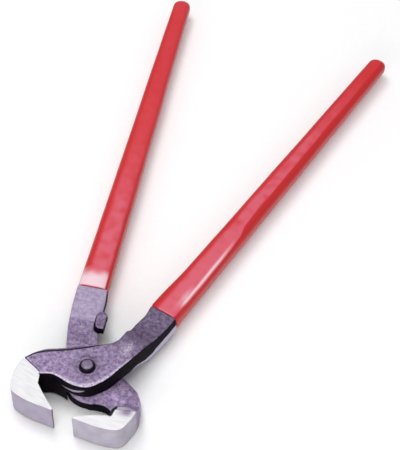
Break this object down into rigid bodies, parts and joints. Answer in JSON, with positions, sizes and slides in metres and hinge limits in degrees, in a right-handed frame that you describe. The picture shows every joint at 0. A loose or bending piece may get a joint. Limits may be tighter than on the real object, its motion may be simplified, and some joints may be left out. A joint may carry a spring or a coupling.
{
  "type": "end-cutting nippers",
  "caption": "Long-handled end-cutting nippers: forged hooked jaws on a riveted lap joint, opened and closed by straight tapered handles in dipped grips.",
  "frame": {"origin": "on the pivot axis, in the plane of the lower half's cheek face, which the tool lies on", "axes": "+Z along the pivot axis, away from the face the tool lies on; +Y from the pivot along the middle line between the two handles; the jaws point along -Y"},
  "size_m": [0.1624, 0.3566, 0.0266],
  "materials": {
    "forged_steel": "drop-forged, dark purple-grey scale, jaws ground bright",
    "rivet_steel": "worn forged rivet head",
    "red_vinyl": "glossy dipped vinyl"
  },
  "bodies": {
    "lower": {"lower_half": "forged_steel", "lower_grip": "red_vinyl", "pivot_rivet": "rivet_steel"},
    "upper": {"upper_half": "forged_steel", "upper_grip": "red_vinyl"}
  },
  "joints": [
    {"name": "pivot", "type": "hinge", "parent": "lower", "child": "upper", "pos_m": [0, 0, 0.0115], "axis": [0, 0, -1], "range_deg": [-21, 29]}
  ]
}
